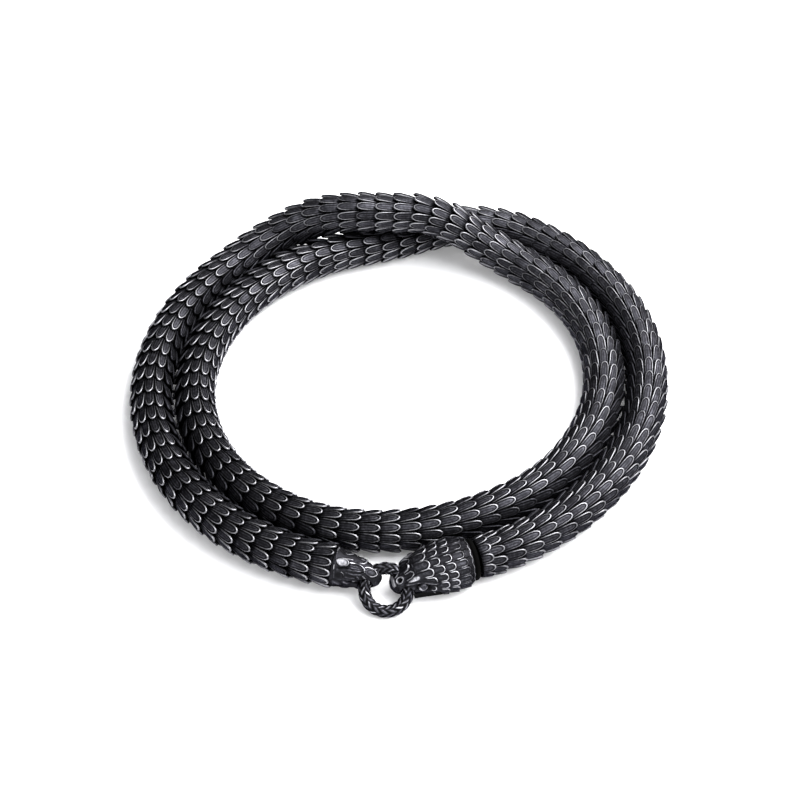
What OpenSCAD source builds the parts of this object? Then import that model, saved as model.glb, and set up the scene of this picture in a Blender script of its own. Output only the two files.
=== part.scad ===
// Snake necklace: a chain of scaled cups wound twice, a snake-head clasp, a ring and a tail cap.
// Millimetres. The chain lies on z = 0, the middle of the turns is the origin, the clasp faces -Y.

/* [Turns] */
// Middle radius of the outer turn
outer_r = 52.8; // [52:0.1:54]
// Middle radius of the inner turn
inner_r = 43.2; // [42:0.1:43.4]
// How far the turns bulge from round
oval = 1.4; // [0:0.1:2]
// Direction of that bulge, in degrees from +X
oval_turn = 32; // [0:1:90]
// Height of the middle of the upper strand over the lower one where they cross
hump = 9.4; // [9.4:0.1:10]

/* [Chain] */
// Number of cup links
links = 145; // [143:1:146]
// Largest radius of the chain, at the petal tips
strand_r = 4.5; // [4.4:0.05:4.7]
// Petals on each cup
petals = 12; // [8:2:16]
// Length of a cup from its floor to its petal tips
cup_len = 5.3; // [5:0.1:5.5]
// Radius of a cup's floor
floor_r = 3.3; // [3.2:0.05:3.4]
// Depth of the notch between two petals
notch = 1.6; // [0.5:0.1:1.8]

/* [Head] */
// Length of the head, rear rim to snout
head_len = 16.6; // [16:0.1:18]
// Radius of the head's rear rim
rim_r = 4.35; // [4.2:0.05:4.4]
// Width of the black band behind the head
band_w = 1.05; // [0.8:0.05:1.2]

/* [Ring] */
// Middle radius of the clasp ring
ring_r = 4.35; // [4.2:0.05:4.5]
// Radius of the ring's wire
wire_r = 1.3; // [1.1:0.05:1.4]
// Slope of the ring, up towards the middle of the turns
ring_slope = 27.5; // [20:0.5:35]
// Play round the wire where it passes through the head and the tail cap
play = 0.25; // [0.15:0.05:0.3]

/* [Tail cap] */
// Length of the cap beyond its rim
cap_len = 9.4; // [9:0.1:10]
// Radius of the cap's rim
cap_r = 3.95; // [3.8:0.05:4.2]

/* [Hidden] */
$fn = 48;

// Least clearance between neighbouring solids
gap = 0.1;

// Height of the strand's middle: the petal tips where the chain slopes down reach a little lower
axis_z = strand_r + 0.07;

// Blackened steel, the more worn steel of the ring, and the black of the band and the gate
steel = [0.20, 0.20, 0.22];
worn_steel = [0.33, 0.33, 0.35];
black = [0.03, 0.03, 0.03];

// Places along the path are angles travelled from +X by way of +Y.
// Where the strands change lanes: the one from the head moves inwards under the other one.
under_from = 58;
under_to = 101;
// The one to the tail moves outwards over it, and is lifted there.
over_from = 447;
over_to = 493;
lift_from = 408;
lift_to = 449;
drop_from = 457;
drop_to = 501;

// Where the inner turn gives way to the head, over how many degrees each way, and by how much
give_at = 284;
give_span = 40;
give_way = 0.7;

// Where the head's rear rim and the cap's floor stand on the path
head_at = -74.4;
cap_at = 614.2;

// A ramp from 0 to 1 made of two equal arcs
function ramp(a, from, to) =
    let (x = min(max((a - from) / (to - from), 0), 1))
    x < 0.5 ? 2 * x * x : 1 - 2 * (1 - x) * (1 - x);
function lane(a) = ramp(a, under_from, under_to) - ramp(a, over_from, over_to);
function give(a) = give_way * pow(max(0, 1 - pow((a - give_at) / give_span, 2)), 2);
function turn_r(a) = outer_r + (inner_r - outer_r) * lane(a) + oval * cos(2 * (a - oval_turn)) - give(a);
function lift(a) = hump * ramp(a, lift_from, lift_to) * (1 - ramp(a, drop_from, drop_to));
function path(a) = [turn_r(a) * cos(a), turn_r(a) * sin(a), axis_z + lift(a)];

// Millimetres of path for each degree, and the angle a given length further on
function speed(a) = norm(path(a + 0.25) - path(a - 0.25)) * 2;
function advance(a, len) = a + len / speed(a + len / speed(a) / 2);
function total(v) = v * [for (x = v) 1];
function run(from, to) =
    let (n = 720, d = (to - from) / n)
    total([for (i = [0:n - 1]) norm(path(from + (i + 1) * d) - path(from + i * d))]);

first_at = advance(head_at, band_w + 4 * gap);
pitch = run(first_at, cap_at) / links;
stations = [for (i = 0, a = first_at; i <= links; i = i + 1, a = advance(a, pitch)) a];

// Stands its children at one point with their z axis towards another, x level
module aim(from, to) {
    t = (to - from) / norm(to - from);
    level = cross([0, 0, 1], t);
    x = level / norm(level);
    y = cross(t, x);
    multmatrix([
        [x[0], y[0], t[0], from[0]],
        [x[1], y[1], t[1], from[1]],
        [x[2], y[2], t[2], from[2]],
        [0, 0, 0, 1]])
        children();
}

// Inside of a cup: floor, room for the next link's button, the flange that traps it
floor_t = 0.6;
flange_z = 2.35;
flange_t = 0.5;
flange_r = 1.3;
button_r = 2;
button_z = 1.25;
button_t = 0.5;
stem_r = 0.8;
room_r = 2.85;
mouth_r = 3.5;
tip_wall = 0.34;
notch_half = 0.9;

// Outline of a button on its stem, which reaches back through the flange ahead
button_outline = [
    [0, button_z - pitch], [button_r, button_z - pitch],
    [button_r, button_z + button_t - pitch], [stem_r, button_z + button_t - pitch]];
cup_outline = [
    [stem_r, 0], [floor_r, 0], [strand_r, cup_len], [strand_r - tip_wall, cup_len],
    [mouth_r, flange_z + flange_t], [flange_r, flange_z + flange_t],
    [flange_r, flange_z], [room_r, flange_z], [room_r, floor_t], [0, floor_t]];

module cup() {
    difference() {
        rotate_extrude() polygon(concat(button_outline, cup_outline));
        for (i = [0:petals - 1])
            rotate([90, 0, (i + 0.5) * 360 / petals])
                translate([0, 0, mouth_r]) linear_extrude(strand_r)
                    polygon([[0, cup_len - notch], [notch_half, cup_len + 0.1], [-notch_half, cup_len + 0.1]]);
    }
}

module chain(from, to) {
    color(steel)
        for (i = [from:to])
            aim(path(stations[i]), path(stations[i + 1])) cup();
}

half = floor(links / 2);
module chain_head_half() { chain(0, half - 1); }
module chain_tail_half() { chain(half, links - 1); }

// The ring lies on its front edge, and its rear edge passes through the head and the cap
ring_x = -2.75;
ring_y = -56.2;
module place_ring() {
    translate([ring_x, ring_y, wire_r + ring_r * sin(ring_slope)])
        rotate([ring_slope, 0, 0]) children();
}
module ring_shape(r) { rotate_extrude() translate([ring_r, 0]) circle(r); }
module clasp_ring() { color(worn_steel) place_ring() ring_shape(wire_r); }
module ring_way() { place_ring() ring_shape(wire_r + play); }

// Head: x runs from the rear rim to the snout, z = 0 is the middle of the strand
function heading(a) = let (d = path(a + 0.25) - path(a - 0.25)) atan2(d[1], d[0]);
head_turn = heading(head_at) + 180;
module place_head() { translate(path(head_at)) rotate([0, 0, head_turn]) children(); }

// Sections of the head: share of its length, half width, height above and depth below the middle
head_sections = [
    [0, rim_r, rim_r, rim_r], [0.06, 5.1, 4.5, 4.4], [0.235, 5.7, 4.7, 4.45],
    [0.41, 5.55, 4.5, 4.45], [0.565, 4.95, 4.1, 4.4], [0.705, 4.2, 3.6, 4.1],
    [0.81, 3.5, 2.6, 4], [0.885, 2.95, 1.7, 3.9], [0.955, 2.1, 0.7, 3.5], [1, 1, -0.6, 2.6]];
head_sides = 24;

// One closed skin through sections of equal point count
module loft(rings) {
    n = len(rings[0]);
    m = len(rings);
    polyhedron(
        points = [for (r = rings) for (p = r) p],
        faces = concat(
            [[for (j = [0:n - 1]) j]],
            [for (i = [0:m - 2]) for (j = [0:n - 1]) let (k = (j + 1) % n)
                for (f = [[i * n + j, (i + 1) * n + k, i * n + k], [i * n + j, (i + 1) * n + j, (i + 1) * n + k]]) f],
            [[for (j = [n - 1:-1:0]) (m - 1) * n + j]]));
}

module skull() {
    loft([for (s = head_sections)
        [for (j = [0:head_sides - 1]) let (t = 360 * j / head_sides, tall = (s[2] + s[3]) / 2)
            [s[0] * head_len, s[1] * cos(t), (s[2] - s[3]) / 2 + tall * sin(t)]]]);
}

// Chin recess and the gate that closes it under the ring
gate_from = 5.6;
gate_to = 12.2;
gate_rear_half = 3.4;
gate_front_half = 2.6;
gate_low = -axis_z;
gate_top = -3.1;
eye_x = 10.5;
eye_y = 4.35;
eye_z = 0.5;
eye_r = 0.95;

module gate_block(extra, low) {
    rear = gate_rear_half + extra;
    front = gate_front_half + extra;
    translate([0, 0, low]) linear_extrude(gate_top + extra - low)
        polygon([[gate_from - extra, -rear], [gate_to + extra, -front], [gate_to + extra, front], [gate_from - extra, rear]]);
}
module brow() {
    hull() {
        translate([9.6, 3.9, 1.9]) sphere(0.7, $fn = 16);
        translate([11.4, 3.35, 2.1]) sphere(0.75, $fn = 16);
        translate([13.2, 2.5, 1.6]) sphere(0.35, $fn = 16);
    }
}
module head() {
    color(steel) difference() {
        place_head() union() {
            skull();
            for (side = [-1, 1]) scale([1, side, 1]) {
                brow();
                translate([eye_x, eye_y, eye_z]) sphere(eye_r);
            }
        }
        ring_way();
        place_head() {
            rotate([0, 90, 0]) translate([0, 0, -1]) cylinder(r = flange_r, h = 2);
            rotate([0, 90, 0]) translate([0, 0, flange_t]) cylinder(r = 2.7, h = 2);
            gate_block(1.2 * gap, gate_low - 1);
        }
    }
}
module jaw_gate() { color(black) place_head() gate_block(0, gate_low); }

// Black band between the head's rim and the first cup, round-edged
module neck_band() {
    color(black) place_head() rotate([0, -90, 0]) translate([0, 0, gap])
        rotate_extrude() {
            translate([flange_r, 0]) square([rim_r - 0.3 - flange_r, band_w]);
            translate([rim_r - 0.3 - band_w / 4, band_w / 2]) circle(band_w / 2);
        }
}

// Tail cap: z runs from its floor, in the last cup's mouth, to the tip
cap_turn = -4.5;
rim_at = 1.5;
nose_r = 1.9;
module place_cap() {
    translate(path(cap_at)) rotate([0, 0, heading(cap_at) + cap_turn]) rotate([0, 90, 0]) children();
}
cap_outline = [
    [stem_r, 0], [floor_r, 0], [floor_r + 0.1, rim_at - 0.1], [cap_r, rim_at], [cap_r, rim_at + 0.4],
    [cap_r - 0.25, rim_at + 1.6], [cap_r - 0.55, rim_at + 3.4], [cap_r - 1, rim_at + 5.2]];
function nose(from, to, n) = [for (i = [0:n]) let (t = from + (to - from) * i / n)
    [nose_r * cos(t), rim_at + cap_len - nose_r + nose_r * sin(t)]];
module tail_cap() {
    color(steel) difference() {
        place_cap() rotate_extrude() polygon(concat(button_outline, cap_outline, nose(20, 90, 7)));
        ring_way();
    }
}

head();
jaw_gate();
neck_band();
chain_head_half();
chain_tail_half();
clasp_ring();
tail_cap();
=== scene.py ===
"""Snake necklace: a chain of petalled cups wound in two turns, closed by a cast head, a ring and a cap.

Lengths in the fields are millimetres and angles are degrees. Meshes are written in metres.
"""

from __future__ import annotations

import logging
import math
from collections.abc import Callable
from dataclasses import dataclass, field
from enum import Enum

import bpy
import numpy as np
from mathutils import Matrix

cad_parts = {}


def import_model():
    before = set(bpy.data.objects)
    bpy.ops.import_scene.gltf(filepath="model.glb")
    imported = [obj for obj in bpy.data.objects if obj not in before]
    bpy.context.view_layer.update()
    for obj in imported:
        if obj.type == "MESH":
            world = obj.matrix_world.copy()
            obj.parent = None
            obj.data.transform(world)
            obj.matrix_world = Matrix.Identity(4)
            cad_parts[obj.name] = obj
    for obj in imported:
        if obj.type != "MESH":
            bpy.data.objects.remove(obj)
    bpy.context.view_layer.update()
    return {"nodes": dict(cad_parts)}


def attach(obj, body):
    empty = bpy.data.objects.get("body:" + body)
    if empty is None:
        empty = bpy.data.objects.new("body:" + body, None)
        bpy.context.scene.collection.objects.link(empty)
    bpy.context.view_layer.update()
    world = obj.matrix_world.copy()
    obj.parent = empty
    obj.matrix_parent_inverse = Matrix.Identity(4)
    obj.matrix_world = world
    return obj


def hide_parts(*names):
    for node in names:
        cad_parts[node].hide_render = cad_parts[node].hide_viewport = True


Array = np.ndarray
Value = "float | Signal"
Spots = tuple[tuple[float, float], ...]
Socket = bpy.types.NodeSocket

MM = 0.001
BODY = "root"
SIDES = (-1.0, 1.0)
log = logging.getLogger("necklace")


class Slot(Enum):
    """Material slots of the record."""

    CHAIN = "chain_steel"
    CLASP = "clasp_steel"


class Steel(Enum):
    """Darkest and brightest reflectance of a blackened steel."""

    CHAIN = (0.050, 0.225)
    CLASP = (0.062, 0.39)


# Numbers on grids


def smooth_step(low: float, high: float, value: Array) -> Array:
    """Cubic step from 0 at low to 1 at high, where high may be the smaller one."""
    x = np.clip((value - low) / (high - low), 0.0, 1.0)
    return x * x * (3.0 - 2.0 * x)


def bell(value: Array, width: float) -> Array:
    """Bell curve of height 1 at 0, falling to 1/e at the width."""
    return np.exp(-np.square(value / width))


def ramp(value: Array, start: float, end: float) -> Array:
    """Ramp from 0 to 1 between two values, made of two equal arcs."""
    x = np.clip((value - start) / (end - start), 0.0, 1.0)
    return np.where(x < 0.5, 2.0 * x * x, 1.0 - 2.0 * (1.0 - x) ** 2)


def unit(vectors: Array) -> Array:
    """Scales each vector to length 1."""
    return vectors / np.maximum(np.linalg.norm(vectors, axis=-1, keepdims=True), 1e-12)


def travelled(points: Array) -> Array:
    """Length from the first of a line of points to each of them."""
    return np.concatenate([[0.0], np.cumsum(np.linalg.norm(np.diff(points, axis=0), axis=1))])


def circle(count: int, whole: float = 2.0 * np.pi) -> Array:
    """Angles spread evenly over a full turn."""
    return np.linspace(0.0, whole, count, endpoint=False)


def cylinder(radius: Array, turn: Array, height: Array | float) -> Array:
    """Points at a radius, an angle in radians and a height about the third axis."""
    return np.stack(np.broadcast_arrays(radius * np.cos(turn), radius * np.sin(turn), height), axis=-1)


def turning(angle: float, axis: int) -> Array:
    """Matrix that turns points, written as rows, about an axis.

    Args:
        angle: Angle of the turn, counterclockwise seen from the axis's tip.
        axis: Number of the axis.

    Returns:
        The matrix, for the right of a product.
    """
    cosine, sine = math.cos(math.radians(angle)), math.sin(math.radians(angle))
    first, second = (axis + 1) % 3, (axis + 2) % 3
    matrix = np.eye(3)
    matrix[first, first] = matrix[second, second] = cosine
    matrix[first, second], matrix[second, first] = sine, -sine
    return matrix


def rounded_table(at: Array, table: Array, reach: float) -> Array:
    """Reads columns of a table at places along it, with its corners rounded.

    Each value is the mean of the straight-line readings at seven places spread evenly over the reach
    to either side.

    Args:
        at: Places to read, in the units of the table's first column.
        table: One row a place: the place, then its values.
        reach: Half the length that is averaged.

    Returns:
        An array with one row a place and one column a value.
    """
    spread = np.linspace(-reach, reach, 7)
    columns = [
        np.mean([np.interp(at + shift, table[:, 0], column) for shift in spread], axis=0)
        for column in table[:, 1:].T
    ]
    return np.stack(columns, axis=-1)


def grid_faces(rows: int, columns: int, closed: bool = True) -> Array:
    """Quads of a grid of points that is numbered row by row.

    Args:
        rows: Rows of points.
        columns: Points in a row.
        closed: Whether each row's last point joins its first.

    Returns:
        An array of four point numbers a face.
    """
    steps = columns if closed else columns - 1
    row, column = np.meshgrid(np.arange(rows - 1), np.arange(steps), indexing="ij")
    near = row * columns + column
    beside = row * columns + (column + 1) % columns
    return np.stack([near, beside, beside + columns, near + columns], axis=-1).reshape(-1, 4)


def torus_faces(rows: int, columns: int) -> Array:
    """Outward quads of a grid whose last row joins its first."""
    return (grid_faces(rows + 1, columns) % (rows * columns))[:, ::-1]


def repeated(faces: list[Array], points: int, copies: int) -> list[Array]:
    """Faces of several copies of a mesh whose points are numbered copy by copy."""
    shift = np.arange(copies)[:, None, None] * points
    return [(group[None] + shift).reshape(-1, group.shape[1]) for group in faces]


def grid_normals(points: Array) -> Array:
    """Outward directions of a closed grid: the cross product of its differences around and along.

    Args:
        points: Rings of points, rows by columns by three.

    Returns:
        One direction a point.
    """
    along = np.gradient(points, axis=0)
    around = (np.roll(points, -1, axis=1) - np.roll(points, 1, axis=1)) / 2.0
    return unit(np.cross(around, along))


# Meshes


@dataclass
class Skin:
    """Points and faces of one piece, with the values that its finish reads.

    Attributes:
        points: One row a point, in millimetres.
        faces: Point numbers of each face, outwards.
        values: Number at each point, by attribute name.
        chart: Two coordinates in millimetres at each point, or nothing.
        rests: Whether what would lie below the floor is pressed flat on it.
    """

    points: Array
    faces: list[Array]
    values: dict[str, Array] = field(default_factory=dict)
    chart: Array | None = None
    rests: bool = True

    def build(self, name: str) -> bpy.types.Object:
        """Writes the skin into a mesh object at the origin.

        Args:
            name: Name of the object.

        Returns:
            The new object.
        """
        mesh = bpy.data.meshes.new(name)
        faces = [face for group in self.faces for face in group.tolist()]
        lowest = 0.0 if self.rests else -np.inf
        points = np.column_stack([self.points[:, :2], np.maximum(self.points[:, 2], lowest)])
        mesh.from_pydata((points * MM).tolist(), [], faces)
        for label, numbers in self.values.items():
            layer = mesh.attributes.new(label, "FLOAT", "POINT")
            layer.data.foreach_set("value", np.ascontiguousarray(numbers, dtype=np.float32))
        if self.chart is not None:
            corner_points = np.empty(len(mesh.loops), dtype=np.int32)
            mesh.loops.foreach_get("vertex_index", corner_points)
            layer = mesh.uv_layers.new(name="chart")
            layer.data.foreach_set("uv", self.chart[corner_points].astype(np.float32).ravel())
        mesh.polygons.foreach_set("use_smooth", np.ones(len(mesh.polygons), dtype=bool))
        mesh.validate()
        mesh.update()
        piece = bpy.data.objects.new(name, mesh)
        bpy.context.scene.collection.objects.link(piece)
        return piece


def closed_grid(points: Array, values: dict[str, Array], chart: Array) -> Skin:
    """Makes a skin from a grid whose rows are rings, and closes both ends at a middle point.

    Args:
        points: Rings of points, rows by columns by three.
        values: Number at each point of the grid, by attribute name.
        chart: Two coordinates at each point of the grid.

    Returns:
        The closed skin.
    """
    rows, columns = points.shape[:2]
    total = rows * columns
    ends = points[[0, -1]].mean(axis=1)
    ring = np.arange(columns)
    following = (ring + 1) % columns
    last = total - columns
    start_fan = np.stack([following, ring, np.full(columns, total)], axis=-1)
    end_fan = np.stack([last + ring, last + following, np.full(columns, total + 1)], axis=-1)
    spread = {
        label: np.concatenate([grid.ravel(), grid[0].mean(keepdims=True), grid[-1].mean(keepdims=True)])
        for label, grid in values.items()
    }
    flat_chart = np.concatenate([chart.reshape(-1, 2), chart[0].mean(0)[None], chart[-1].mean(0)[None]])
    faces = [grid_faces(rows, columns), start_fan, end_fan]
    return Skin(np.concatenate([points.reshape(-1, 3), ends]), faces, spread, flat_chart)


def soot_and_shade_skin(points: Array, faces: list[Array], rests: bool = True) -> Skin:
    """Skin that is painted black all over with soot and shade."""
    worn = np.zeros(len(points))
    return Skin(points, faces, {"worn": worn, "soot_and_shade": worn + 1.0}, np.zeros((len(points), 2)), rests)


def carve(piece: bpy.types.Object, cutter: Skin) -> None:
    """Cuts a closed skin out of a piece and writes the result into the piece's mesh.

    Args:
        piece: The piece that is cut.
        cutter: What is taken away.
    """
    tool = cutter.build(piece.name + "_cutter")
    cut = piece.modifiers.new("cut", "BOOLEAN")
    cut.operation = "DIFFERENCE"
    cut.solver = "EXACT"
    cut.object = tool
    ready = piece.evaluated_get(bpy.context.evaluated_depsgraph_get())
    carved = bpy.data.meshes.new_from_object(ready)
    piece.modifiers.remove(cut)
    piece.data = carved
    carved.name = piece.name
    bpy.data.objects.remove(tool)


def dress(piece: bpy.types.Object, material: bpy.types.Material, slot: Slot, *nodes: str) -> None:
    """Gives a piece its finish, its body and the nodes that it stands for.

    Args:
        piece: The piece.
        material: Its finish.
        slot: Its slot in the record; not used.
        nodes: Names of the solids that it replaces.
    """
    piece.data.materials.clear()
    piece.data.materials.append(material)
    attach(piece, BODY)
    if nodes:
        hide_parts(*nodes)


# Finishes


class Signal:
    """A number socket on which Python's operators add Math nodes."""

    def __init__(self, paint: Paint, socket: Socket) -> None:
        """Keeps the socket and the material that it belongs to."""
        self.paint, self.socket = paint, socket

    def math(self, operation: str, *inputs: Value) -> Signal:
        """Adds one Math node on the given inputs."""
        return self.paint.number("ShaderNodeMath", {"operation": operation}, dict(enumerate(inputs)))

    def __add__(self, other: Value) -> Signal:
        """Sum with a number or signal, on either side."""
        return self.math("ADD", self, other)

    def __sub__(self, other: Value) -> Signal:
        """Difference from a number or signal."""
        return self.math("SUBTRACT", self, other)

    def __rsub__(self, other: Value) -> Signal:
        """Difference of a number and this signal."""
        return self.math("SUBTRACT", other, self)

    def __mul__(self, other: Value) -> Signal:
        """Product with a number or signal, on either side."""
        return self.math("MULTIPLY", self, other)

    __radd__ = __add__
    __rmul__ = __mul__

    def step(self, low: float, high: float) -> Signal:
        """Smooth step from 0 at low to 1 at high."""
        sockets = {"Value": self, "From Min": low, "From Max": high}
        return self.paint.number("ShaderNodeMapRange", {"interpolation_type": "SMOOTHSTEP"}, sockets)


class Paint:
    """A node material that is written as Python expressions."""

    def __init__(self, name: str) -> None:
        """Makes an empty node material with its surface shader.

        Args:
            name: Name of the material.
        """
        self.material = bpy.data.materials.new(name)
        self.material.use_nodes = True
        self.tree = self.material.node_tree
        self.surface = next(n for n in self.tree.nodes if n.type == "BSDF_PRINCIPLED")

    def node(self, kind: str, settings: dict, sockets: dict) -> bpy.types.Node:
        """Adds a node of any kind.

        Args:
            kind: Blender's name of the node type.
            settings: Properties, which are set before the sockets.
            sockets: Value, Signal or socket for each input, by name or number.

        Returns:
            The new node.
        """
        new = self.tree.nodes.new(kind)
        for label, setting in settings.items():
            setattr(new, label, setting)
        for label, given in sockets.items():
            self.feed(new.inputs[label], given)
        return new

    def feed(self, target: Socket, given: object) -> None:
        """Links a signal or socket to an input, or sets the input to a value.

        Args:
            target: The input.
            given: Signal, socket or value.
        """
        if isinstance(given, Signal):
            given = given.socket
        if isinstance(given, Socket):
            self.tree.links.new(given, target)
        else:
            target.default_value = given

    def number(self, kind: str, settings: dict, sockets: dict, output: int | str = 0) -> Signal:
        """Adds a node and wraps one of its outputs as a signal."""
        return Signal(self, self.node(kind, settings, sockets).outputs[output])

    def attribute(self, name: str) -> Signal:
        """Number that the mesh keeps at each point."""
        return self.number("ShaderNodeAttribute", {"attribute_name": name}, {}, "Fac")

    def place(self) -> Socket:
        """Object coordinates, in metres."""
        return self.node("ShaderNodeTexCoord", {}, {}).outputs["Object"]

    def chart(self, stretch: tuple[float, float]) -> Socket:
        """The piece's own chart, stretched along each of its two directions."""
        sockets = {0: self.node("ShaderNodeUVMap", {"uv_map": "chart"}, {}).outputs["UV"], 1: (*stretch, 1.0)}
        return self.node("ShaderNodeVectorMath", {"operation": "MULTIPLY"}, sockets).outputs[0]

    def noise(self, where: Socket, scale: float, detail: float) -> Signal:
        """Cloudy noise between about 0.2 and 0.8."""
        sockets = {"Vector": where, "Scale": scale, "Detail": detail, "Roughness": 0.55}
        return self.number("ShaderNodeTexNoise", {}, sockets, "Fac")

    def mix(self, share: Signal, low: object, high: object) -> Socket:
        """Mix node between two colours or colour sockets."""
        sockets = {"Factor": share, 6: low, 7: high}
        return self.node("ShaderNodeMix", {"data_type": "RGBA"}, sockets).outputs[2]

    def bump(self, height: Signal, depth: float, strength: float) -> Socket:
        """Normal of a height signal that is so many millimetres deep."""
        sockets = {"Strength": strength, "Distance": depth * MM, "Height": height}
        return self.node("ShaderNodeBump", {}, sockets).outputs["Normal"]

    def finish(self, **inputs: object) -> bpy.types.Material:
        """Feeds the surface shader.

        Args:
            inputs: What goes into each input, with underscores for the spaces in its name.

        Returns:
            The material.
        """
        for label, given in inputs.items():
            self.feed(self.surface.inputs[label.replace("_", " ")], given)
        return self.material


def grey(level: float, cool: float = 0.0) -> tuple[float, float, float, float]:
    """Grey of a given level, turned a little towards blue."""
    return (level, level, level * (1.0 + cool), 1.0)


@dataclass(frozen=True)
class WornSteel:
    """Blackened steel whose raised parts are worn bright, and whose recesses are painted dark with soot and
    shade.

    Attributes:
        striation: Stretch of the fine lines across and along the chart, in waves a millimetre.
        grain: Depth of the fine relief.
        clouds: Scale of the clouds, in waves a metre, as that of the specks.
        cool: How far the dark film is turned towards blue.
        soot_and_shade: Reflectance in the recesses, the black of soot and painted shade.
        edge_from: Wear at which the bright edge begins, and at which it is full.
        edge_noise: How far clouds and specks break the wear up.
        film_noise: Shares of lines, clouds and specks in the dark film.
        film_level: What the film's sum is lowered by, and how much more it is where there is soot and painted
            shade.
        film_full: Sum at which the film is brightest.
        film_tones: Darkest and brightest film, as shares of the steel's darkest reflectance.
        cave_from: Soot and painted shade at which a recess begins, and at which it is full.
        rough: Roughness, its spread by the specks, and how much less it is where the steel is worn.
    """

    name: str
    steel: Steel
    striation: tuple[float, float]
    grain: float = 0.02
    clouds: float = 260.0
    specks: float = 1900.0
    cool: float = 0.17
    soot_and_shade: float = 0.004
    edge_from: tuple[float, float] = (0.48, 0.92)
    edge_noise: tuple[float, float] = (0.35, 0.30)
    film_noise: tuple[float, float, float] = (0.36, 0.50, 0.52)
    film_level: tuple[float, float] = (0.465, 0.45)
    film_full: float = 0.62
    film_tones: tuple[float, float] = (0.30, 2.3)
    cave_from: tuple[float, float] = (0.55, 1.0)
    rough: tuple[float, float, float] = (0.54, 0.25, 0.12)

    def make(self) -> bpy.types.Material:
        """Builds the material.

        The attribute "worn" is 1 on raised edges, and "soot_and_shade" is 1 in recesses, which it paints dark
        with soot and shade. Clouds of two sizes break both up, and fine lines run along the chart.

        Returns:
            The material.
        """
        dark, bright = self.steel.value
        paint = Paint(self.name)
        place = paint.place()
        clouds = paint.noise(place, self.clouds, 3.0)
        specks = paint.noise(place, self.specks, 2.0)
        lines = paint.noise(paint.chart(self.striation), 1.0, 3.0)
        worn = paint.attribute("worn")
        soot_and_shade = paint.attribute("soot_and_shade")
        by_cloud, by_speck = self.edge_noise
        edge = (worn + (clouds - 0.5) * by_cloud + (specks - 0.5) * by_speck).step(*self.edge_from)
        by_line, by_cloud, by_speck = self.film_noise
        lowered, by_soot_and_shade = self.film_level
        # Painted shade: the film is darker where there is soot and shade.
        film = lines * by_line + clouds * by_cloud + specks * by_speck - lowered - soot_and_shade * by_soot_and_shade
        low, high = (grey(dark * share, self.cool) for share in self.film_tones)
        panel = paint.mix(film.step(0.0, self.film_full), low, high)
        # Painted shade: recesses are made nearly black, for soot and for the shade that falls in them.
        cave = soot_and_shade.step(*self.cave_from) * (1.0 - edge) * 0.9
        sunk = paint.mix(cave, panel, grey(self.soot_and_shade))
        rough, by_speck, by_wear = self.rough
        return paint.finish(
            Base_Color=paint.mix(edge, sunk, grey(bright, 0.07)),
            Metallic=1.0,
            Specular_Tint=(0.30, 0.30, 0.32, 1.0),
            Roughness=rough + (specks - 0.5) * by_speck - edge * by_wear,
            Normal=paint.bump(lines * 0.4 + specks * 0.6, self.grain, 0.6),
        )


@dataclass(frozen=True)
class MatteBlack:
    """Matte black of the neck band and the jaw gate, with its reflectance, roughness and gloss."""

    name: str
    level: float
    rough: float
    gloss: float
    metallic: float = 0.0

    def make(self) -> bpy.types.Material:
        """Builds the material, with a fine cloudy grain in its tone, gloss and relief.

        Returns:
            The material.
        """
        paint = Paint(self.name)
        grain = paint.noise(paint.place(), 1500.0, 3.0)
        return paint.finish(
            Base_Color=paint.mix(grain, grey(self.level * 0.6), grey(self.level * 1.5)),
            Metallic=self.metallic,
            Specular_IOR_Level=self.gloss,
            Roughness=self.rough + (grain - 0.5) * 0.2,
            Normal=paint.bump(grain, 0.01, 0.5),
        )


@dataclass(frozen=True)
class Paper:
    """White seamless floor, with a small glow that keeps its shadows pale."""

    name: str = "paper"
    glow: float = 0.10

    def make(self) -> bpy.types.Material:
        """Builds the material, with faint wide clouds in its tone.

        Returns:
            The material.
        """
        paint = Paint(self.name)
        tone = paint.noise(paint.place(), 3.0, 1.0)
        return paint.finish(
            Base_Color=paint.mix(tone, (0.83, 0.83, 0.84, 1.0), (0.85, 0.85, 0.86, 1.0)),
            Roughness=0.9,
            Emission_Color=grey(1.0),
            Emission_Strength=self.glow,
        )


# The chain


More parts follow.
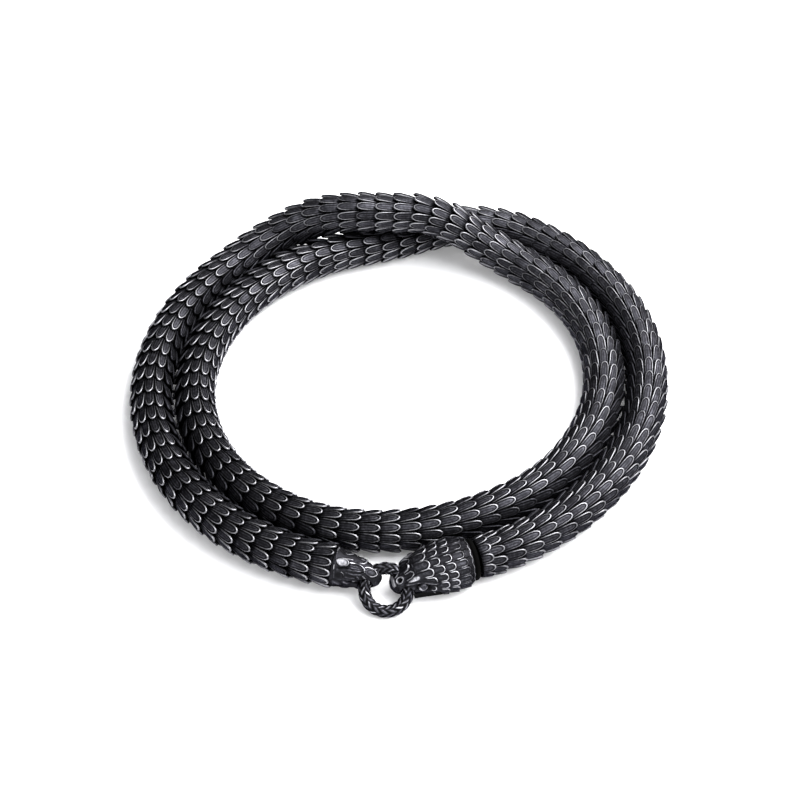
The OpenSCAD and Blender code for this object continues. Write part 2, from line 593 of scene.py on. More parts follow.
@dataclass(frozen=True)
class Route:
    """Middle line of the chain, as the solids have it, by the angle travelled.

    Attributes:
        oval: How far the turns bulge, at the angle oval_turn.
        hump: How high the upper strand rises at the crossing.
        under: Where the lower strand changes lanes; over is the same for the upper one.
        lift: Where the upper strand rises; drop is where it comes down.
        give: Place, half length and depth of the dent beside the head.
        head_at: Where the head begins; cap_at is the same for the cap.
        neck_gap: Length from the head's start to the first link.
        samples: Places along from which even lengths are read.
    """

    outer_r: float = 52.8
    inner_r: float = 43.2
    oval: float = 1.4
    oval_turn: float = 32.0
    hump: float = 9.4
    axis_z: float = 4.57
    under: tuple[float, float] = (58.0, 101.0)
    over: tuple[float, float] = (447.0, 493.0)
    lift: tuple[float, float] = (408.0, 449.0)
    drop: tuple[float, float] = (457.0, 501.0)
    give: tuple[float, float, float] = (284.0, 40.0, 0.7)
    head_at: float = -74.4
    cap_at: float = 614.2
    links: int = 145
    neck_gap: float = 1.45
    samples: int = 40001

    def points(self, angle: Array | float) -> Array:
        """Points at the given angles travelled.

        The radius is that of the outer or the inner turn, with a ramp where the strand changes
        lanes, a bulge with two waves around, and a dent at the head. The height has a ramp up
        and a ramp down at the crossing.

        Args:
            angle: Degrees travelled from +X by way of +Y.

        Returns:
            One point an angle.
        """
        lane = ramp(angle, *self.under) - ramp(angle, *self.over)
        at, span, depth = self.give
        dent = depth * np.maximum(0.0, 1.0 - np.square((angle - at) / span)) ** 2
        bulge = self.oval * np.cos(np.radians(2.0 * (angle - self.oval_turn)))
        radius = self.outer_r + (self.inner_r - self.outer_r) * lane + bulge - dent
        height = self.axis_z + self.hump * ramp(angle, *self.lift) * (1.0 - ramp(angle, *self.drop))
        return cylinder(radius, np.radians(angle), height)

    def heading(self, angle: float) -> float:
        """Direction of travel in plan at an angle, in degrees."""
        step = self.points(angle + 0.25) - self.points(angle - 0.25)
        return math.degrees(math.atan2(step[1], step[0]))

    def frames(self) -> tuple[Array, Array]:
        """Where each link stands and how it is turned: even lengths along the line to the cap.

        Returns:
            The links' first points, and their axes as columns: level, up and along.
        """
        angle = np.linspace(self.head_at, self.cap_at, self.samples)
        length = travelled(self.points(angle))
        marks = np.linspace(self.neck_gap, length[-1], self.links + 1)
        places = self.points(np.interp(marks, length, angle))
        along = unit(np.diff(places, axis=0))
        level = unit(np.cross([0.0, 0.0, 1.0], along))
        up = np.cross(along, level)
        return places[:-1], np.stack([level, up, along], axis=-1)


@dataclass(frozen=True)
class Petal:
    """One petal of a cup: a raised rim around a panel with a spine groove, on a belly that flattens.

    The outline is a tongue. Nested tongues, each inset from the one before, carry the rim, the
    valley behind it, the panel and the spine.

    Attributes:
        base_r: Radius of the cup where the petal begins; tip_r is that at its tip.
        round_from: Place along where the tip's rounding begins.
        belly: Power of the curve from the base's radius to the tip's.
        fill: Share of its room around the cup that it takes at its base.
        narrowing: How much narrower it is towards its tip, up to the share narrow_to of its length.
        tip_inset: How much farther a tongue is inset at its tip than at its sides.
        rim: Height of the rim, as valley, swell and spine are those of the other tongues.
        base_relief: Share of these heights that is left at its base.
        wear_shares: Shares of its wear that it has all over, from its straight sides on, and at its tip.
    """

    count: int = 12
    base_r: float = 3.34
    tip_r: float = 4.39
    length: float = 5.3
    start: float = 0.35
    round_from: float = 3.45
    belly: float = 2.0
    fill: float = 0.97
    narrowing: float = 0.25
    narrow_to: float = 0.68
    tip_inset: float = 1.25
    wall: float = 0.40
    rim: float = 0.105
    valley: float = -0.045
    swell: float = 0.02
    spine: float = -0.03
    base_relief: float = 0.45
    wear_shares: tuple[float, float, float] = (0.46, 0.30, 0.24)
    side_steps: int = 2
    tip_steps: int = 8

    def tongues(self) -> Array:
        """The nested tongues, from the lowest outline to the spine.

        Returns:
            Four rows: inset as a share of half the width, height over the cone, wear, and soot with painted
                shade.
        """
        table = [
            # Painted shade with soot: the wall and the valley behind the rim are black, and the outline and
            # the spine are darker.
            (0.0, -self.wall, 0.45, 1.0),
            (0.0, -0.02, 0.95, 0.35),
            (0.19, self.rim, 1.0, 0.0),
            (0.35, self.valley, 0.0, 1.0),
            (0.66, self.swell, 0.15, 0.0),
            (1.0, self.spine, 0.05, 0.45),
        ]
        return np.array(table).T

    def outline(self) -> tuple[Array, Array]:
        """Unit tongue: straight sides and a rounded tip that is a little pointed.

        Returns:
            Places across from -1 to 1, and places along, where the sides run from -1 to 0 and the tip
            from 0 to 1.
        """
        turn = np.linspace(0.0, np.pi, self.tip_steps + 1)
        side = np.linspace(-1.0, 0.0, self.side_steps, endpoint=False)
        across = np.concatenate([-np.ones(len(side)), -np.cos(turn), np.ones(len(side))])
        return across, np.concatenate([side, np.sin(turn) ** 0.97, side[::-1]])

    def skin(self) -> Skin:
        """One petal in cylinder coordinates: radius, angle in radians and place along.

        The radius grows from the base's to the tip's as one less a power of the length that is left.
        Each nested tongue shrinks across and at its tip by its inset. The last one is the spine, whose
        left and right halves are the same points, so that the last strip closes the top. Faces across
        the lowest tongue close the underside, and one face closes the base.

        Returns:
            The petal.
        """
        across, along = self.outline()
        inset, rise, wear, soot_and_shade = self.tongues()[..., None]
        half_angle = math.pi / self.count
        half_width = half_angle * (self.base_r + self.tip_r) / 2.0
        side_length = self.round_from - self.start
        tip_length = self.length - self.round_from - inset * half_width * self.tip_inset
        z = self.round_from + along * np.where(along < 0.0, side_length, tip_length)
        share = z / self.length
        width = self.fill - self.narrowing * np.minimum(share, self.narrow_to)
        angle = across * (1.0 - inset) * half_angle * width
        cone = self.base_r + (self.tip_r - self.base_r) * (1.0 - np.maximum(1.0 - share, 0.0) ** self.belly)
        fade = smooth_step(self.start, self.round_from, z)
        low = self.base_relief
        radius = cone + rise * np.where(inset > 0.0, low + (1.0 - low) * fade, 1.0)
        rows, columns = angle.shape
        half = columns // 2
        number = np.arange(rows * columns).reshape(rows, columns)
        number[-1, half + 1:] = number[-1, :half][::-1]
        top = number.ravel()[grid_faces(rows, columns, closed=False)]
        left = np.arange(half - 1)
        under = np.stack([left, left + 1, columns - 2 - left, columns - 1 - left], axis=-1)
        tip = np.array([[half - 1, half, half + 1]])
        base = np.concatenate([number[:, 0], number[-2::-1, -1]])[None]
        everywhere, onward, at_tip = self.wear_shares
        wear = wear * (everywhere + onward * fade + at_tip * np.clip(along, 0.0, 1.0))
        layers = [radius, angle, z, wear, soot_and_shade + 0.0 * z, angle / half_angle * half_width]
        table = np.stack(layers, axis=-1).reshape(rows * columns, -1)[:rows * columns - half]
        values = {"worn": table[:, 3], "soot_and_shade": table[:, 4]}
        return Skin(table[:, :3], [top[:, ::-1], under, tip, base[:, ::-1]], values, table[:, [5, 2]])


@dataclass(frozen=True)
class Chain:
    """The cups of the chain, in two halves of one path.

    Attributes:
        collar: Shorter petal behind the neck band.
        apart: Links between which two spots count as different turns.
        lean_share: Share of the gap between the turns that a petal's tip takes, up to lean_most.
        lean_gaps: Gaps at which it leans no more and fully.
        lean_shade: How fast a leaning petal's wear is dimmed, a painted shade in the narrow gap between the
            turns.
        facing: Cosines at which a tip begins to face the other turn, and fully does.
        cup_r: Radii of the outline of a cup's wall; cup_z are its places along.
        spreads: Spread of a petal's lift, length, turn and wear.
        slide: How far its chart is slid at most.
    """

    route: Route = Route()
    petal: Petal = Petal()
    collar: Petal = Petal(base_r=3.95, tip_r=4.34, length=2.7, start=0.15, round_from=1.45, wall=0.25)
    strand_r: float = 4.48
    apart: int = 25
    lean_share: float = 0.62
    lean_most: float = 1.15
    lean_gaps: tuple[float, float] = (2.5, 1.6)
    lean_shade: float = 1.5
    facing: tuple[float, float] = (0.40, 0.80)
    cup_r: tuple[float, ...] = (2.9, 3.2, 3.85, 3.45, 2.7)
    cup_z: tuple[float, ...] = (0.15, 0.15, 4.1, 4.1, 0.5)
    cup_sides: int = 16
    spreads: tuple[float, float, float, float] = (0.018, 0.010, 0.006, 0.14)
    slide: float = 90.0
    seed: int = 7

    def cups(self, places: Array, axes: Array) -> Skin:
        """Cup walls behind the petals, painted black with soot and shade: one closed profile turned about
        each link's axis.

        Args:
            places: Where the links stand.
            axes: How they are turned.

        Returns:
            The walls of all the links.
        """
        radius, along = np.array(self.cup_r)[:, None], np.array(self.cup_z)[:, None]
        wall = cylinder(radius, circle(self.cup_sides)[None], along)
        cup = closed_grid(wall, {}, np.zeros((*wall.shape[:2], 2)))
        points = places[:, None] + np.einsum("lij,pj->lpi", axes, cup.points)
        # Painted shade with soot: the cup walls are black all over.
        return soot_and_shade_skin(points.reshape(-1, 3), repeated(cup.faces, len(cup.points), len(places)))

    def crowding(self) -> Array:
        """How far each petal's tip leans out towards the neighbouring turn.

        The gap is the distance from a tip to the nearest of four spots a link on the other turn, less
        the strand's radius. A tip that faces it takes a little over half of a narrow gap, so that the
        petals of both turns lean on each other.

        Returns:
            One row a link and one column a petal.
        """
        places, axes = self.route.frames()
        turn = np.arange(self.petal.count) * 2.0 * np.pi / self.petal.count
        out = axes[:, None, :, 0] * np.cos(turn)[:, None] + axes[:, None, :, 1] * np.sin(turn)[:, None]
        tips = places[:, None] + axes[:, None, :, 2] * self.petal.length + out * self.petal.tip_r
        ends = np.concatenate([places[1:], places[-1:]])
        spots = 4
        share = circle(spots, 1.0)[:, None]
        line = (places[:, None] * (1.0 - share) + ends[:, None] * share).reshape(-1, 3)
        away = line[None, None] - tips[:, :, None]
        distance = np.linalg.norm(away, axis=-1)
        apart = np.abs(np.arange(len(places))[:, None] - np.arange(len(line))[None] / spots) >= self.apart
        distance = np.where(apart[:, None], distance, np.inf)
        nearest = distance.argmin(axis=-1)
        gap = distance.min(axis=-1) - self.strand_r
        toward = np.take_along_axis(away, nearest[..., None, None], axis=2)[:, :, 0]
        facing = smooth_step(*self.facing, np.sum(unit(toward) * out, axis=-1))
        near = smooth_step(*self.lean_gaps, gap)
        return self.lean_share * np.clip(gap, 0.0, self.lean_most) * facing * near

    def petals(
        self, petal: Petal, links: slice, lean: Array, phase: float, random: np.random.Generator
    ) -> Skin:
        """All the petals of some links.

        A petal's points are turned about its link's axis by its place in the cup, then carried to
        the link. Each petal is lifted, lengthened and worn a little on its own.

        Args:
            petal: The petal.
            links: Which links.
            lean: How far each tip leans out.
            phase: Turn of the ring of petals, as a share of one petal.
            random: Source of the small differences.

        Returns:
            The petals of all the links.
        """
        places, axes = (part[links] for part in self.route.frames())
        one = petal.skin()
        radius, angle, along = one.points.T
        shape = (len(places), petal.count, 1)
        lean = lean[links][..., None]
        lift_by, length_by, turn_by, wear_by = self.spreads
        height = along / petal.length
        lift = random.normal(0.0, lift_by, shape) * height ** 2 + lean * height
        longer = 1.0 + random.normal(0.0, length_by, shape) * height
        turn = angle + ((np.arange(petal.count) + phase) * 2.0 * np.pi / petal.count)[None, :, None]
        turn = turn + random.normal(0.0, turn_by, shape)
        spots = cylinder(radius + lift, turn, along * longer)
        points = places[:, None, None] + np.einsum("lij,lkpj->lkpi", axes, spots)
        # Painted shade: petals that lean into the gap between the turns lose their bright wear.
        gap_shading = 1.0 - self.lean_shade * lean
        worn = one.values["worn"] * (1.0 + random.normal(0.0, wear_by, shape)) * gap_shading
        soot_and_shade = np.broadcast_to(one.values["soot_and_shade"], worn.shape)
        petals = len(places) * petal.count
        chart = one.chart[None] + random.uniform(0.0, self.slide, (petals, 1, 2))
        faces = repeated(one.faces, len(along), petals)
        values = {"worn": worn.ravel(), "soot_and_shade": soot_and_shade.ravel()}
        return Skin(points.reshape(-1, 3), faces, values, chart.reshape(-1, 2))

    def build(self, steel: bpy.types.Material) -> list[bpy.types.Object]:
        """Builds the petals and the cup walls of both halves.

        Args:
            steel: Finish of the chain.

        Returns:
            The pieces.
        """
        random = np.random.default_rng(self.seed)
        places, axes = self.route.frames()
        lean = self.crowding()
        half = self.route.links // 2
        collar = self.petals(self.collar, slice(0, 1), 0.0 * lean, 0.5, random).build("neck_collar")
        dress(collar, steel, Slot.CHAIN, "chain_head_half")
        pieces = [collar]
        for node, part in (("chain_head_half", slice(0, half)), ("chain_tail_half", slice(half, None))):
            petals = self.petals(self.petal, part, lean, 0.0, random).build(node + "_petals")
            cups = self.cups(places[part], axes[part]).build(node + "_cups")
            for piece in (petals, cups):
                dress(piece, steel, Slot.CHAIN, node)
                pieces.append(piece)
        return pieces


# The clasp


@dataclass(frozen=True)
class Border:
    """Border of a tile, by the distance from its outline, which is below 0 inside.

    Attributes:
        soft: Half the width in which the tile begins.
        rim: Depth inside and width of the raised rim.
        line: Depth inside, width and soot with painted shade of the dark line along the rim.
        groove: Distance outside, width and start of the groove around the tile, which is painted dark with
            soot and shade.
    """

    soft: float
    rim: tuple[float, float]
    line: tuple[float, float, float]
    groove: tuple[float, float, float]

    def cut(self, edge: Array) -> tuple[Array, Array, Array, Array]:
        """Works the border out: a smooth step for the tile, and bells for the rest.

        Args:
            edge: Distance from the outline at each point.

        Returns:
            Share of the tile, height of the rim, and soot with painted shade of the line and of the groove.
        """
        within = smooth_step(self.soft, -self.soft, edge)
        rim = bell(edge + self.rim[0], self.rim[1])
        line = self.line[2] * bell(edge + self.line[0], self.line[1])
        groove = bell(np.maximum(edge - self.groove[0], 0.0), self.groove[1]) * (edge > self.groove[2])
        return within, rim, line, groove


SCALE_BORDER = Border(0.07, (0.16, 0.115), (0.42, 0.16, 0.55), (0.08, 0.16, 0.02))
LEAF_BORDER = Border(0.06, (0.15, 0.11), (0.38, 0.14, 0.6), (0.06, 0.14, 0.0))
BARE_WEAR = 0.12
BARE_SOOT = 0.35
TILE_SOOT = 0.25


@dataclass
class Relief:
    """Height, wear and soot on a grid around an axis, built up shape by shape.

    Attributes:
        along: Place along the axis at each point.
        angle: Angle around the axis at each point.
        radius: Radius at each point.
        height: Height over the smooth surface.
        worn: Wear, 1 where bright.
        soot_and_shade: Soot and painted shade, 1 where black.
    """

    along: Array
    angle: Array
    radius: Array
    height: Array = field(init=False)
    worn: Array = field(init=False)
    soot_and_shade: Array = field(init=False)

    def __post_init__(self) -> None:
        """Starts from a bare surface."""
        self.height, self.worn = np.zeros_like(self.along), np.full_like(self.along, BARE_WEAR)
        self.soot_and_shade = np.full_like(self.along, BARE_SOOT)

    def across(self, angle: float) -> Array:
        """Distance around the surface from an angle, in millimetres."""
        turn = (self.angle - angle + 180.0) % 360.0 - 180.0
        return np.radians(turn) * self.radius

    def lay(self, within: Array, height: Array, wear: Array, soot_and_shade: Array, groove: Array) -> None:
        """Lays a tile on what is there: the larger height, wear and soot with painted shade stay, and it
        hides the wear below.

        Args:
            within: Share of the tile at each point.
            height: Its height.
            wear: Its wear.
            soot_and_shade: Its soot and painted shade.
            groove: Soot and painted shade around it.
        """
        self.height = np.maximum(self.height, within * height)
        self.worn = np.maximum(self.worn * (1.0 - 0.9 * within), within * wear)
        self.soot_and_shade = np.maximum(np.where(within > 0.5, soot_and_shade, self.soot_and_shade), groove)

    def scale(self, at: float, angle: float, half: float, length: float) -> None:
        """Adds one scale: a tile that is highest at its rounded end, with a raised rim.

        The distance to a capsule's outline gives the rim and the groove outside it. The tile falls
        from its rounded end to its base.

        Args:
            at: Place of its rounded end along the surface.
            angle: Angle of its middle.
            half: Half its width.
            length: Its length from the rounded end.
        """
        ahead = self.along - at
        side = self.across(angle)
        edge = np.hypot(np.minimum(ahead - half, 0.0), side) - half
        within, rim, line, groove = SCALE_BORDER.cut(edge)
        within = within * (ahead < length + 0.5)
        tip = 0.58 + 0.42 * smooth_step(length * 0.80, half * 0.9, ahead)
        slope = 0.24 * np.clip(1.0 - ahead / (length + 0.4), 0.0, 1.0)
        ridge = rim * smooth_step(length, length * 0.55, ahead)
        dome = 0.07 * np.clip(1.0 - np.square(side / half), 0.0, 1.0)
        wear = np.minimum(1.25 * ridge * tip, 1.0)
        self.lay(within, slope + 0.16 * ridge + dome, wear, TILE_SOOT + line, groove * (ahead < length))

    def leaf(
        self, base: float, tip: float, angle: float, half: float, rim: float, shine: float = 0.0
    ) -> None:
        """Adds a pointed leaf: the overlap of two circles, with a raised rim and a rising tile.

        Args:
            base: Place along of the end that lies under others.
            tip: Place along of the free end.
            angle: Angle of its middle.
            half: Half its width.
            rim: Height of the rim over the tile.
            shine: Wear of the tile itself.
        """
        reach = abs(tip - base) / 2.0
        bend = (reach * reach + half * half) / (2.0 * half)
        ahead = self.along - (base + tip) / 2.0
        edge = np.hypot(ahead, np.abs(self.across(angle)) + bend - half) - bend
        climb = np.clip(0.5 + ahead / (tip - base), 0.0, 1.0)
        within, ridge, line, groove = LEAF_BORDER.cut(edge)
        ridge = ridge * smooth_step(0.15, 0.5, climb)
        soot_and_shade = TILE_SOOT + line * (shine == 0.0)
        height = 0.05 + 0.20 * climb + rim * ridge
        self.lay(within, height, np.maximum(ridge * 0.80, shine), soot_and_shade, groove)

    def swell(self, at: float, angle: float, size: tuple[float, float], height: float, wear: float) -> None:
        """Adds a smooth swelling: a bell over an ellipse.

        Args:
            at: Its middle along the surface.
            angle: Its middle around the surface.
            size: Half lengths along and around, in millimetres.
            height: Its height, which may be below 0 for a hollow.
            wear: Wear on it, or soot with painted shade in it where its height is below 0.
        """
        reach = np.hypot((self.along - at) / size[0], self.across(angle) / size[1])
        self.height = self.height + height * bell(reach, 1.0)
        if height > 0.0:
            self.worn = np.maximum(self.worn, wear * smooth_step(1.15, 0.45, reach))
            self.soot_and_shade = self.soot_and_shade * (1.0 - smooth_step(1.2, 0.5, reach))
        else:
            # Painted shade with soot: a hollow is darkened.
            self.soot_and_shade = np.maximum(self.soot_and_shade, wear * smooth_step(1.2, 0.4, reach))

    def away(self, start: tuple[float, float], end: tuple[float, float]) -> Array:
        """Distance from a straight stroke: from the nearest of its spots, as the surface lies flat.

        Args:
            start: Place along and angle where it starts.
            end: Place along and angle where it ends.

        Returns:
            Distance at each point, in millimetres.
        """
        x = self.along - start[0]
        y = self.across(start[1])
        dx = end[0] - start[0]
        dy = math.radians(end[1] - start[1]) * self.radius
        share = np.clip((x * dx + y * dy) / (dx * dx + dy * dy), 0.0, 1.0)
        return np.hypot(x - share * dx, y - share * dy)

    def trace(
        self, spots: Spots, width: float, height: float, wear: float = 1.0,
        base: float = 0.0, side: float = 1.0,
    ) -> None:
        """Adds a raised stroke with a dark line of soot and painted shade beside it, or a groove, darkened
        the same way, where the height is below 0.

        It is a bell of the distance from the line through the spots.

        Args:
            spots: Place along and angle of each spot.
            width: Half its width.
            height: Its height.
            wear: Wear on it.
            base: Angle from which the spots' angles count.
            side: -1 where they count the other way round.
        """
        spots = [(at, base + side * angle) for at, angle in spots]
        away = np.min([self.away(start, end) for start, end in zip(spots, spots[1:])], axis=0)
        shape = bell(away, width)
        self.height = self.height + height * shape
        if height > 0.0:
            # Painted shade with soot: a dark line runs beside the raised stroke.
            self.soot_and_shade = np.maximum(self.soot_and_shade * (1.0 - shape), 0.85 * bell(away - 2.4 * width, width))
            self.worn = np.maximum(self.worn * (1.0 - bell(away, 2.6 * width)), wear * shape)
        else:
            # Painted shade with soot: the groove is darkened.
            self.soot_and_shade = np.maximum(self.soot_and_shade, shape)
            self.worn = self.worn * (1.0 - shape)

    def loop(self, at: float, angle: float, radius: float, width: float, height: float) -> None:
        """Adds a raised ring, which is a bell of the distance from its circle, with a hollow inside it that
        is painted black with soot and shade.

        Args:
            at: Its middle along the surface.
            angle: Its middle around the surface.
            radius: Its radius.
            width: Half the width of its rim.
            height: Height of its rim.
        """
        away = np.hypot(self.along - at, self.across(angle))
        shape = bell(away - radius, width)
        self.height = self.height + height * shape - 1.4 * height * bell(away, radius * 0.75)
        self.worn = np.maximum(self.worn, shape)
        # Painted shade with soot: the hollow inside the ring is blackened.
        self.soot_and_shade = np.maximum(self.soot_and_shade * (1.0 - shape), smooth_step(radius * 0.95, radius * 0.4, away))

    def cast(
        self, name: str, node: str, points: Array, place: Callable[[Array], Array], way: Skin,
        steel: bpy.types.Material,
    ) -> bpy.types.Object:
        """Casts a piece: its smooth surface raised by the relief, with the ring's way cut through it.

        Args:
            name: Name of the piece.
            node: The solid that it replaces.
            points: Its smooth surface.
            place: Carries points to where the piece lies.
            way: What the ring needs.
            steel: Its finish.

        Returns:
            The piece.
        """
        raised = points + grid_normals(points) * self.height[..., None]
        chart = np.stack([np.radians(self.angle) * self.radius, self.along], axis=-1)
        piece = closed_grid(place(raised), {"worn": self.worn, "soot_and_shade": self.soot_and_shade}, chart).build(name)
        carve(piece, way)
        dress(piece, steel, Slot.CLASP, node)
        return piece


@dataclass(frozen=True)
class RingSeat:
    """Where the clasp ring lies, how steeply it leans up towards the back, and the way that it needs.

    Attributes:
        ring_r: Radius of the wire's middle line.
        play: Room around the wire.
        mouth: Angle of the way's mouth in the cap, and half its width.
    """

    x: float = -2.75
    y: float = -56.2
    ring_r: float = 4.35
    wire_r: float = 1.3
    slope: float = 27.5
    play: float = 0.25
    mouth: tuple[float, float] = (200.0, 16.0)

    def place(self, around: Array, section: Array, wire: Array | float) -> Array:
        """Points of a torus: a circle of the wire's radius carried round the ring, which is sloped.

        Args:
            around: Angle round the ring, in radians.
            section: Angle round the wire, 0 outwards.
            wire: Radius of the wire.

        Returns:
            The points.
        """
        flat = cylinder(self.ring_r + wire * np.cos(section), around, wire * np.sin(section))
        high = self.wire_r + self.ring_r * math.sin(math.radians(self.slope))
        return flat @ turning(self.slope, 0) + np.array([self.x, self.y, high])

    def torus(self, widening: float = 0.0, rows: int = 72, columns: int = 24) -> Skin:
        """Torus that cuts the ring's way through the head and the cap, painted black with soot and shade,
        which it leaves on the walls of the way.

        Args:
            widening: How much thicker it is at the mouth, where a bell widens it.
            rows: Points round the ring.
            columns: Points round the wire.

        Returns:
            The torus.
        """
        around = circle(rows)[:, None]
        at, half = self.mouth
        wire = self.wire_r + self.play + widening * bell(np.degrees(around) - at, half)
        points = self.place(around, circle(columns)[None], wire)
        # Painted shade with soot: the cutter is black all over, for the walls of the way.
        return soot_and_shade_skin(points.reshape(-1, 3), [torus_faces(rows, columns)], rests=False)


@dataclass(frozen=True)
class ClaspRing:
    """The ring, cast with a herringbone of slanting strokes.

    Attributes:
        strokes: Strokes in a lane.
        lanes: Lanes round the wire, an even number, which slant in turn to either side.
        slant: Slant of a stroke, as a share of its length.
        stroke_half: Half its width, as a share of the room for one.
        lane_ends: Distance from its lane's middle at which it has ended, and at which it begins to.
        first_lane: Place of the first lane round the wire, as a share of a lane.
        depth: Unit of the relief; stroke_rise and groove_fall are a stroke's and a groove's in it.
        shift: Spread of the lanes' shifts, as a share of a stroke.
        wear: Wear of a stroke; tones is its spread.
    """

    seat: RingSeat = RingSeat()
    rows: int = 360
    columns: int = 60
    strokes: int = 18
    lanes: int = 8
    slant: float = 0.85
    stroke_half: float = 0.24
    lane_ends: tuple[float, float] = (0.52, 0.38)
    first_lane: float = 0.35
    depth: float = 0.15
    stroke_rise: float = 1.10
    groove_fall: float = 0.95
    shift: float = 0.07
    wear: float = 0.52
    tones: float = 0.30
    seed: int = 3

    def build(self, steel: bpy.types.Material) -> bpy.types.Object:
        """Builds the ring: a torus whose wire swells with lanes of slanting strokes.

        Across a stroke its height is a bell, and it ends in a smooth step before its lane's sides.
        Its place round the ring moves with the distance from the lane's middle, which slants it.

        Args:
            steel: Finish of the ring.

        Returns:
            The ring.
        """
        around, section = np.broadcast_arrays(circle(self.rows)[:, None], circle(self.columns)[None])
        random = np.random.default_rng(self.seed)
        lane = section * self.lanes / (2.0 * np.pi) + self.first_lane
        nearest = np.round(lane)
        off = lane - nearest
        way = 1.0 - 2.0 * (nearest % 2.0)
        lane_number = nearest.astype(int) % self.lanes
        shift = random.normal(0.0, self.shift, self.lanes)[lane_number]
        turn = around * self.strokes / (2.0 * np.pi) + way * (0.25 + self.slant * off) + shift
        stroke = bell(turn % 1.0 - 0.5, self.stroke_half) * smooth_step(*self.lane_ends, np.abs(off))
        height = self.depth * (self.stroke_rise * stroke - self.groove_fall)
        tones = random.normal(0.0, self.tones, (self.strokes, self.lanes))
        tone = tones[np.floor(turn).astype(int) % self.strokes, lane_number]
        wear = smooth_step(0.25, 0.95, stroke) * (self.wear + tone)
        # Painted shade with soot: everything between the strokes is blackened.
        soot_and_shade = 1.0 - smooth_step(0.10, 0.55, stroke)
        points = self.seat.place(around, section, self.seat.wire_r - 0.02 + height)
        chart = np.stack([section * self.seat.wire_r, around * self.seat.ring_r], axis=-1)
        values = {"worn": wear.ravel(), "soot_and_shade": soot_and_shade.ravel()}
        faces = [torus_faces(self.rows, self.columns)]
        ring = Skin(points.reshape(-1, 3), faces, values, chart.reshape(-1, 2)).build("clasp_ring_cast")
        dress(ring, steel, Slot.CLASP, "clasp_ring")
        return ring


